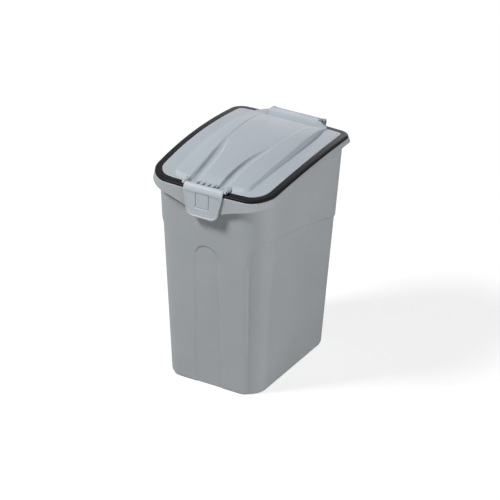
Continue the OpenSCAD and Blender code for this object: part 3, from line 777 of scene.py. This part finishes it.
def build_nose():
    """The tongue between the grooves runs on to the latch, with four notches in its front."""
    xs = np.linspace(-LATCH_W / 2, LATCH_W / 2, 265)
    back = RAISED_FRONT + 1.0
    ys = np.linspace(back, NOSE_END_Y, 56)
    floor_z = NOSE_LOW_Z + NOSE_FLOOR_T
    bend_z = AXIS_Z + BARREL_SEEN_R - 0.2
    rows = []
    for y in ys:
        held = max(y, LID_LOW + 0.6)
        lid_z = lid_top(xs, np.full(len(xs), held)) - 0.25
        a = np.clip((held - y) / (held - NOSE_FRONT + 1e-6), 0, 1)
        # the tongue and the arms beside the grooves fall to the bend, and the grooves run out level with it
        z = lid_z * (1 - a) + np.minimum(lid_z, bend_z) * a
        across = np.abs((np.abs(xs) - GROOVE_FRONT_X) / (GROOVE_W / 2))
        groove = 1 - np.clip(across, 0, 1) ** 1.5
        z = z - 0.6 * groove * np.sin(np.pi * a)
        z = z - notch_cut(xs, y) * (NOTCH_DEPTH + NOTCH_DEEPER * notch_length(y))
        z = np.maximum(z, floor_z - 1.2)
        rows.append(np.column_stack([xs, np.full(len(xs), y), z]))
    for y in (ys[-1], back):
        rows.append(np.column_stack([xs, np.full(len(xs), y), np.full(len(xs), NOSE_LOW_Z)]))
    n = len(xs)
    count = len(rows)
    faces = belt_faces(count, n)
    faces.append(tuple(j * n for j in range(count)))
    faces.append(tuple(j * n + n - 1 for j in reversed(range(count))))
    return make_mesh("lid_nose", np.concatenate(rows), faces, sharp=32, **LID_PIECE)


def build_lugs():
    """The two lugs of the lid that hold the ends of the latch pin."""
    back = RAISED_FRONT + 1.0
    arc = [tuple(point) for point in circle_arc(AXIS_Y, AXIS_Z, BARREL_SEEN_R + 0.3, 80, 262, 18)]
    edge_x = np.array(LATCH_W / 2 + LUG_T)
    high = float(lid_top(edge_x, np.array(back))) - 0.5
    low = float(lid_top(np.array(LATCH_W / 2 + 1), np.array(LID_LOW))) - 0.4
    profile = [(LID_LOW, low)] + arc + [(AXIS_Y + 1, NOSE_LOW_Z), (back, NOSE_LOW_Z), (back, high)]
    profile = rounded(profile, [2.5] + [0.9] * (len(profile) - 1))
    lugs = []
    for side, name in ((1, "latch_lug_right"), (-1, "latch_lug_left")):
        a, b = sorted((side * (LATCH_W / 2 + 0.1), side * (LATCH_W / 2 + SIDE_GAP + LUG_T)))
        lugs.append(prism(name, profile, a, b, 0.7, sharp=32, **LID_PIECE))
    return lugs


def bezier(a, b, c, n):
    """Points on a curve from a to c that bends towards b."""
    t = np.linspace(0, 1, n)[:, None]
    return (1 - t) ** 2 * np.array(a) + 2 * t * (1 - t) * np.array(b) + t * t * np.array(c)


def build_hood():
    """The hood over the hinge, which ends in the barrel round the rod."""
    rim_top = RIM_Z + RIM_RISE
    root = (RAISED_BACK - LID_T / 4, rim_top + RAISED_BACK_H + LID_T / 4)
    turn = (RAISED_BACK + 4 * LID_T, rim_top + RAISED_BACK_H + LID_T / 2)
    top = (RIM_BACK, rim_top + HOOD_H)
    back_top = (ROD_Y - BARREL_R - LID_T / 2, rim_top + HOOD_H - 2.0)
    upper = bezier(root, turn, top, 14)
    upper = np.concatenate([[(root[0] + 0.2, root[1] - 1.6)], upper[1:]])
    arc = circle_arc(ROD_Y, ROD_Z, BARREL_R, 80, -190, 26)
    under_top = (top[0] + LID_T, top[1] - LID_T)
    under = bezier((root[0], root[1] - LID_T), (turn[0], turn[1] - LID_T), under_top, 12)[::-1]
    profile = np.concatenate([upper, [back_top], arc, [(back_top[0], back_top[1] - 1.2 * LID_T)], under])
    top_corners = (len(upper) - 1, len(upper))
    radii = [1.0 if i in top_corners else 0.0 for i in range(len(profile))]
    profile = rounded(profile, radii)
    return prism("hinge_hood", profile, -BARREL_W / 2, BARREL_W / 2, 0.6, sharp=32, **LID_PIECE)


def build_nubs():
    """A small nub on each end of the hood's top."""
    hood_top = RIM_Z + RIM_RISE + HOOD_H
    nub = rounded([(RIM_BACK + 2.6, hood_top - 2.0), (RIM_BACK + 6.2, hood_top - 2.2),
                   (RIM_BACK + 5.8, hood_top - 0.1), (RIM_BACK + 3.2, hood_top - 0.1)], 0.7)
    pieces = []
    for side, name in ((1, "hood_nub_right"), (-1, "hood_nub_left")):
        a, b = sorted((side * NUB_X, side * (NUB_X + NUB_W)))
        pieces.append(prism(name, nub, a, b, 0.5, sharp=32, **LID_PIECE))
    return pieces


def build_shoulders():
    """The sloping shoulders that run from the hood's ends down to the lid's border."""
    rim_top = RIM_Z + RIM_RISE
    pieces = []
    seat_y = RIM_BACK - SEAL_W - 1
    low_z = float(rim_z(np.array(seat_y))) + SEAL_H + 2 * SEAL_GAP
    seat_z = float(rim_z(np.array(seat_y))) + BORDER_H - 1.8
    for side, name in ((1, "hood_shoulder_right"), (-1, "hood_shoulder_left")):
        loops = []
        for t in np.linspace(0, 1, 14):
            x = (BARREL_W / 2 - 0.8) * (1 - t) + (SHOULDER_X - 0.2) * t
            back_y = (RIM_BACK + BACK_BOW / 2) * (1 - t) + (seat_y + 1.7) * t
            back_z = (rim_top + HOOD_H - LID_T) * (1 - t) + (low_z + 1.2) * t
            front = (RAISED_BACK - 0.9, low_z + 1.1)
            mid_y = front[0] + 0.55 * (back_y - front[0])
            mid_z = front[1] + 0.33 * (back_z - front[1])
            edge = bezier(front, (mid_y, mid_z), (back_y, back_z), 9)
            loop = [(front[0], seat_z), (seat_y, seat_z), (seat_y, low_z), (back_y, low_z)]
            loop += [tuple(p) for p in edge[::-1]]
            loops.append(np.array([(side * x, p[0], p[1]) for p in loop]))
        pieces.append(loft(name, loops, caps="first last", sharp=32, **LID_PIECE))
    return pieces


def build_seal():
    """The seal's section: a round outer side, a flat crown and the tongue that sits in the lid."""
    inner = SEAL_W - 0.1
    tongue_in = SEAL_W + SEAL_TONGUE
    rows = [(0.9, SEAL_GAP), (0.35, 0.45), (0.08, 1.0)]
    for a in np.linspace(0, 90, 12):
        c = math.radians(a)
        inset = 0.05 + SEAL_ROUND_W * (1 - math.cos(c)) ** 1.1
        rows.append((inset, SEAL_ROUND_LOW + (SEAL_H - SEAL_ROUND_LOW) * math.sin(c) ** 0.9))
    rows += [(5.0, SEAL_H), (6.5, SEAL_H - 0.02), (8.0, SEAL_H - 0.05), (9.3, SEAL_H - 0.15)]
    rows += [(10.2, SEAL_H - 0.25), (inner - 0.15, SEAL_H - 0.35), (inner, SEAL_H - 0.6), (inner, TONGUE_HIGH)]
    rows += [(tongue_in, TONGUE_HIGH), (tongue_in, TONGUE_LOW), (inner, TONGUE_LOW), (inner, SEAL_GAP)]
    loops = [rim_loop(a, b) for a, b in rows]
    return loft("seal_ring", loops, caps="join", sharp=40, **SEAL_PIECE)


# Latch
def latch_half(z):
    """Half width of the latch's outline at a height."""
    bottom = AXIS_Z - LATCH_DROP
    corner = bottom + LATCH_CORNER_R
    low = LATCH_LOW_W / 2
    z = np.asarray(z, float)
    up = np.clip((z - corner) / (RIM_Z - corner), 0, 1)
    straight = low + (LATCH_W / 2 - low) * up
    d = np.clip((corner - z) / LATCH_CORNER_R, 0, 1)
    round_part = low - LATCH_CORNER_R * (1 - np.sqrt(np.maximum(0, 1 - d * d)))
    return np.where(z < corner, round_part, straight)


def latch_line(front_y, low_y, bottom):
    """The plate's front line from over the pivot, round the bend and down to the bottom edge."""
    knee = np.array([front_y - LATCH_T, RIM_Z])
    foot = np.array([low_y - LATCH_T, bottom])
    arc = circle_arc(AXIS_Y, AXIS_Z, BARREL_SEEN_R, 8, 92, 16)
    bend = bezier(arc[-1], (front_y - LATCH_T + 2.0, AXIS_Z + 0.8), knee, 26)[1:]
    straight = [knee + (foot - knee) * t for t in np.linspace(0.0, 1.0, 90)[1:]]
    return np.concatenate([arc, bend, straight])


def line_normals(line):
    """Directions across the line, which point into the plate."""
    tangent = np.gradient(line, axis=0)
    tangent /= np.linalg.norm(tangent, axis=1)[:, None]
    normal = np.stack([tangent[:, 1], -tangent[:, 0]], 1)
    return normal * np.sign(normal[len(normal) // 2, 0])


def latch_depth(x, y, z, bottom):
    """How far the plate's front lies in at a point: edge, field, finger pad and notches."""
    inside = float(latch_half(z)) - np.abs(x)
    if z < bottom + LATCH_CORNER_R:
        centre_x = LATCH_LOW_W / 2 - LATCH_CORNER_R
        away = np.hypot(np.maximum(np.abs(x) - centre_x, 0), bottom + LATCH_CORNER_R - z)
        inside = np.maximum(LATCH_CORNER_R - away, 0)
    near_edge = np.maximum(LATCH_EDGE_R - inside, 0)
    round_in = LATCH_EDGE_R - np.sqrt(np.maximum(0, LATCH_EDGE_R ** 2 - near_edge ** 2))
    in_plate = smooth((RIM_Z + 2.0 - z) / 6.0)
    field = LATCH_FIELD_DEPTH * smooth(inside - LATCH_RIM_W) * in_plate
    core = PAD_W / 2 - PAD_CORNER_R
    pad_z = bottom + LATCH_DROP / 2 + PAD_UP
    pad_in = PAD_CORNER_R - np.hypot(np.maximum(np.abs(x) - core, 0), max(abs(z - pad_z) - core, 0.0))
    pad = PAD_DEPTH / 3 * smooth((pad_in + 0.3) / 0.6)
    pad = pad + PAD_DEPTH * 0.7 * smooth((pad_in + 0.3) / 0.5) * smooth((1.5 - pad_in) / 0.5)
    # the notches of the lid's front run on into the bend
    pocket = 0.0
    if NOTCH_FOOT_Y < y < AXIS_Y + 3 and z > RIM_Z:
        pocket = POCKET_DEPTH * notch_cut(x, y) * smooth((y - NOTCH_FOOT_Y) / 0.8)
    return np.minimum(round_in + field + pad + pocket, LATCH_T - 0.35)


def build_latch_plate(front_y, low_y):
    """The plate with its bend, drawn row by row from the pivot down and up again behind."""
    bottom = AXIS_Z - LATCH_DROP
    line = latch_line(front_y, low_y, bottom)
    across = np.concatenate([
        np.linspace(-1, -0.86, 14)[:-1],
        np.linspace(-0.86, 0.86, 121),
        np.linspace(0.86, 1, 14)[1:]])
    front_rows = []
    back_rows = []
    for (y, z), (in_y, in_z) in zip(line, line_normals(line)):
        x = across * float(latch_half(z))
        depth = latch_depth(x, y, z, bottom)
        front_rows.append(np.column_stack([x, y + in_y * depth, z + in_z * depth]))
        level = np.ones(len(x))
        behind = ((y + in_y * LATCH_T) * level, (z + in_z * LATCH_T) * level)
        back_rows.append(np.column_stack([x * LATCH_BACK_SHARE, *behind]))
    rows = front_rows + back_rows[::-1]
    n = len(across)
    count = len(rows)
    faces = belt_faces(count, n)
    for j in range(len(front_rows) - 1):
        m = count - 1 - j
        faces.append((j * n, (j + 1) * n, (m - 1) * n, m * n))
        faces.append((j * n + n - 1, m * n + n - 1, (m - 1) * n + n - 1, (j + 1) * n + n - 1))
    return make_mesh("latch_plate", np.concatenate(rows), faces, sharp=38, **LATCH_PIECE)


def build_latch():
    """The plate, the barrel round the pin and the hook under the tub's flange."""
    front_y = RIM_FRONT - FRONT_BOW - FLANGE_PROUD - SIDE_GAP
    low_y = front_y - FLANGE_FLARE - LATCH_LEAN
    plate = build_latch_plate(front_y, low_y)
    circle = circle_arc(AXIS_Y, AXIS_Z, BARREL_HIDDEN_R, 0, 350, 36)
    barrel = prism("latch_barrel", circle, -LATCH_W / 2, LATCH_W / 2, 0.4, sharp=32, **LATCH_PIECE)
    hook_top = RIM_Z - FRONT_FLANGE_H - SIDE_GAP
    hook_tip = front_y + HOOK_REACH
    hook = rounded([(front_y - LATCH_T / 2, hook_top), (hook_tip, hook_top),
                    (hook_tip, hook_top - HOOK_H / 4), (low_y - LATCH_T / 2, hook_top - HOOK_H)], 0.5)
    hook = prism("latch_hook", hook, -HOOK_W / 2, HOOK_W / 2, 0.5, sharp=32, **LATCH_PIECE)
    return [plate, barrel, hook]


# Stage, light and camera, in metres and watts
FLOOR_HALF = 6.0
FLOOR_ALBEDO = 0.35
FLOOR_GLOW = 0.78
WORLD_LIGHT = 0.12
CAMERA_PLACE = (1.969183, -3.251068, 2.170120)
CAMERA_TARGET = (-0.0105885, 0.0226125, 0.1636507)
CAMERA_LENS = 207.305
KEY_LIGHT = {"place": (-2.05, -2.0, 3.33), "target": (0, 0, 0.25), "size": (1.0, 1.0), "power": 152.0}
FILL_LIGHT = {"place": (3.1, -0.78, 0.4), "target": (0, 0, 0.15), "size": (1.8, 0.6), "power": 48.0}
BACK_LIGHT = {"place": (-0.9, 3.2, 0.9), "target": (0, 0, 0.2), "size": (1.8, 0.8), "power": 15.0}


def stage_material(name, colour):
    """A matt white floor that looks white to the camera and still keeps the object's shadow."""
    material, nodes, links, shader = new_material(name)
    out = [n for n in nodes if n.type == "OUTPUT_MATERIAL"][0]
    shader.inputs["Base Color"].default_value = colour
    shader.inputs["Roughness"].default_value = 0.9
    shader.inputs["Specular IOR Level"].default_value = 0.1
    glow = nodes.new("ShaderNodeEmission")
    glow.inputs["Color"].default_value = (1.0, 1.0, 1.0, 1.0)
    glow.inputs["Strength"].default_value = FLOOR_GLOW
    dark = nodes.new("ShaderNodeEmission")
    dark.inputs["Strength"].default_value = 0.0
    path = nodes.new("ShaderNodeLightPath")
    seen = nodes.new("ShaderNodeMixShader")
    links.new(path.outputs["Is Camera Ray"], seen.inputs[0])
    links.new(dark.outputs[0], seen.inputs[1])
    links.new(glow.outputs[0], seen.inputs[2])
    both = nodes.new("ShaderNodeAddShader")
    links.new(shader.outputs[0], both.inputs[0])
    links.new(seen.outputs[0], both.inputs[1])
    links.new(both.outputs[0], out.inputs[0])
    return material


def build_stage():
    """The floor that the bin stands on."""
    half = FLOOR_HALF
    corners = [(-half, -half, 0), (half, -half, 0), (half, half, 0), (-half, half, 0)]
    mesh = bpy.data.meshes.new("floor")
    mesh.from_pydata(corners, [], [(0, 1, 2, 3)])
    floor = bpy.data.objects.new("floor", mesh)
    bpy.context.scene.collection.objects.link(floor)
    white = stage_material("floor_white", (FLOOR_ALBEDO, FLOOR_ALBEDO, FLOOR_ALBEDO, 1.0))
    mesh.materials.append(white)


def area_light(name, place, target, size, power):
    """A lamp that lights the scene from one side and isn't seen itself."""
    data = bpy.data.lights.new(name, "AREA")
    data.energy = power
    data.color = (1, 1, 1)
    data.shape = "RECTANGLE"
    data.size = size[0]
    data.size_y = size[1]
    lamp = bpy.data.objects.new(name, data)
    lamp.location = place
    direction = Vector(target) - Vector(place)
    lamp.rotation_euler = direction.to_track_quat("-Z", "Y").to_euler()
    lamp.visible_camera = False
    bpy.context.scene.collection.objects.link(lamp)


def build_world():
    """A soft light from all round; the camera, glass and mirrors see plain white instead."""
    world = bpy.data.worlds.new("studio")
    world.use_nodes = True
    bpy.context.scene.world = world
    nodes = world.node_tree.nodes
    links = world.node_tree.links
    nodes.clear()
    out = nodes.new("ShaderNodeOutputWorld")
    soft = nodes.new("ShaderNodeBackground")
    soft.inputs["Color"].default_value = (0.97, 0.985, 1.0, 1.0)
    soft.inputs["Strength"].default_value = WORLD_LIGHT
    white = nodes.new("ShaderNodeBackground")
    white.inputs["Color"].default_value = (1.0, 1.0, 1.0, 1.0)
    white.inputs["Strength"].default_value = 1.0
    path = nodes.new("ShaderNodeLightPath")
    first = nodes.new("ShaderNodeMath")
    first.operation = "MAXIMUM"
    links.new(path.outputs["Is Camera Ray"], first.inputs[0])
    links.new(path.outputs["Is Transmission Ray"], first.inputs[1])
    second = nodes.new("ShaderNodeMath")
    second.operation = "MAXIMUM"
    links.new(first.outputs[0], second.inputs[0])
    links.new(path.outputs["Is Glossy Ray"], second.inputs[1])
    mix = nodes.new("ShaderNodeMixShader")
    links.new(second.outputs[0], mix.inputs[0])
    links.new(soft.outputs[0], mix.inputs[1])
    links.new(white.outputs[0], mix.inputs[2])
    links.new(mix.outputs[0], out.inputs[0])


def build_camera():
    """The camera that took the photo, as fitted to the bin's corners and edges."""
    data = bpy.data.cameras.new("camera")
    camera = bpy.data.objects.new("camera", data)
    place = Vector(CAMERA_PLACE)
    target = Vector(CAMERA_TARGET)
    camera.location = place
    camera.rotation_euler = (target - place).to_track_quat("-Z", "Y").to_euler()
    data.lens = CAMERA_LENS
    data.sensor_width = 36.0
    data.clip_end = 50.0
    bpy.context.scene.collection.objects.link(camera)
    bpy.context.scene.camera = camera


build_camera()
tub_pieces = [build_tub()] + build_ears()
lid_pieces = [build_lid_shell(), build_nose()] + build_lugs()
lid_pieces += [build_hood()] + build_nubs() + build_shoulders()
seal = build_seal()
latch_pieces = build_latch()

for piece in tub_pieces:
    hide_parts("tub")
for piece in lid_pieces:
    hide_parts("lid")
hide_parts("lid_seal")
for piece in latch_pieces:
    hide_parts("latch")

for node_name in ("latch_pin", "hinge_rod"):
    node_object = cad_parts[node_name]
    node_object.data.materials.clear()
    node_object.data.materials.append(STEEL_MAT)

build_stage()
area_light("key", **KEY_LIGHT)
area_light("fill", **FILL_LIGHT)
area_light("back", **BACK_LIGHT)
build_world()
bpy.context.scene.view_settings.view_transform = "Standard"
